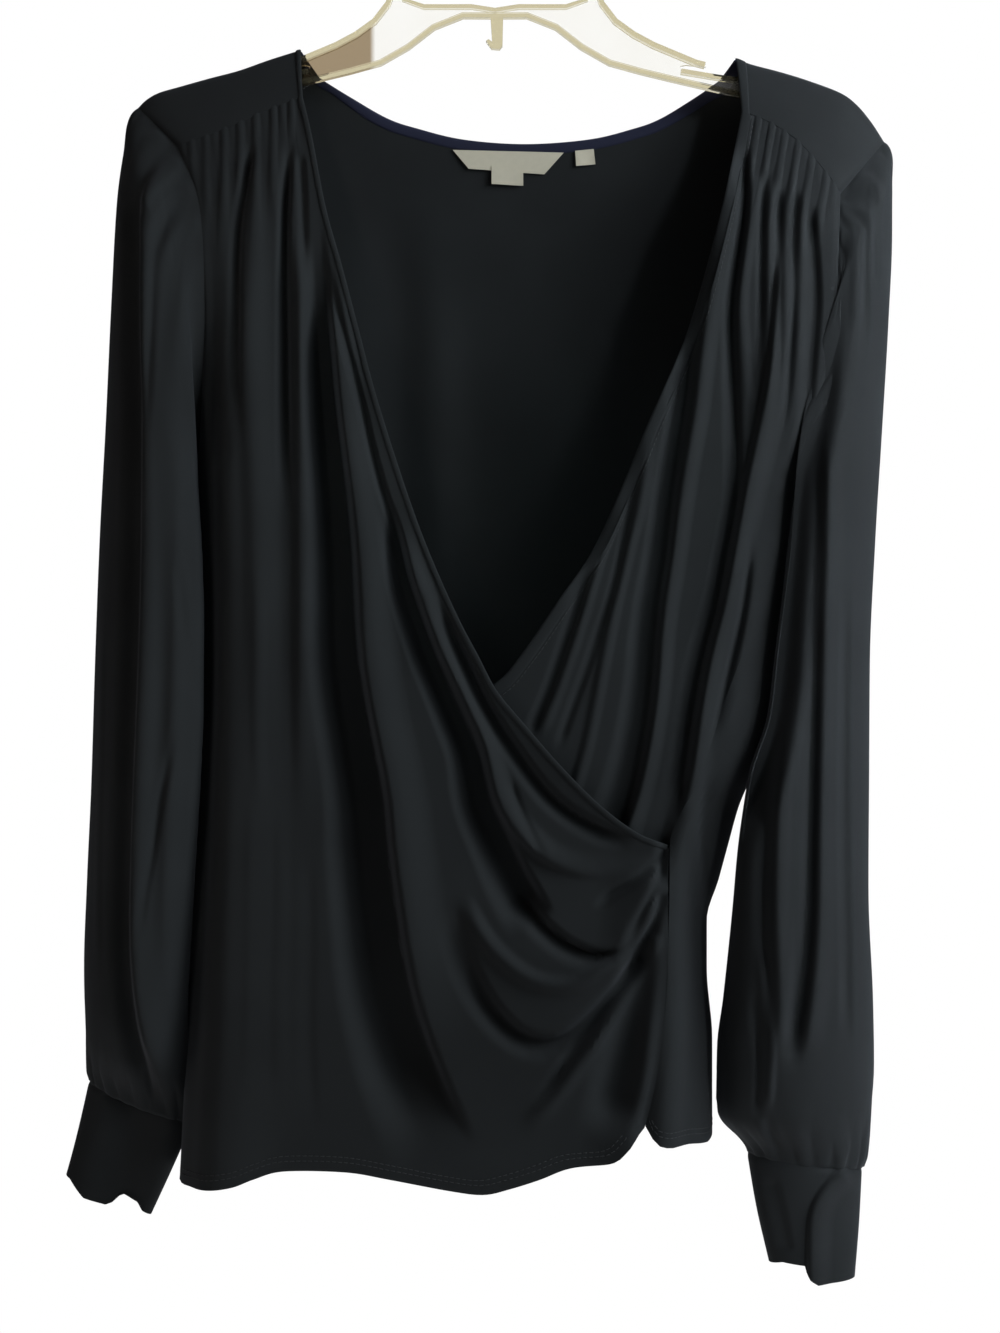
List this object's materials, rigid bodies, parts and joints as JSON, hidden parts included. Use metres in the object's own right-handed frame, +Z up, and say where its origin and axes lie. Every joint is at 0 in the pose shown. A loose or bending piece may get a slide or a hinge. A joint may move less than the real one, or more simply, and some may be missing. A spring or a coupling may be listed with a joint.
{
  "type": "wrap top on hanger",
  "caption": "Long-sleeved jersey wrap top, right front lapped over left, gathered at the shoulder yokes, on a clear plastic hanger with a steel hook.",
  "frame": {"origin": "inner top of the hanger's hook, where the rail touches it", "axes": "+Z up, from the hem to the hook; the front of the top faces -Y and its back +Y; +X runs from the side that is on the left of the picture to the side that is on its right"},
  "size_m": [0.4622, 0.1141, 0.8265],
  "materials": {
    "jersey": "near-black jersey knit with a soft sheen",
    "navy_binding": "dark navy jersey binding",
    "label_satin": "plain cream satin ribbon",
    "clear_plastic": "clear moulded plastic, slightly yellowed",
    "hook_steel": "bright steel wire"
  },
  "bodies": {
    "root": {"front_over": "jersey", "front_under": "jersey", "back": "jersey", "yoke_left": "jersey", "yoke_right": "jersey", "sleeve_left": "jersey", "sleeve_right": "jersey", "cuff_left": "jersey", "cuff_right": "jersey", "edge_band_over": "jersey", "edge_band_under": "jersey", "neck_binding_back": "navy_binding", "label_main": "label_satin", "label_lower": "label_satin", "label_size": "label_satin", "hanger_frame": "clear_plastic", "hanger_hook": "hook_steel"}
  },
  "joints": []
}
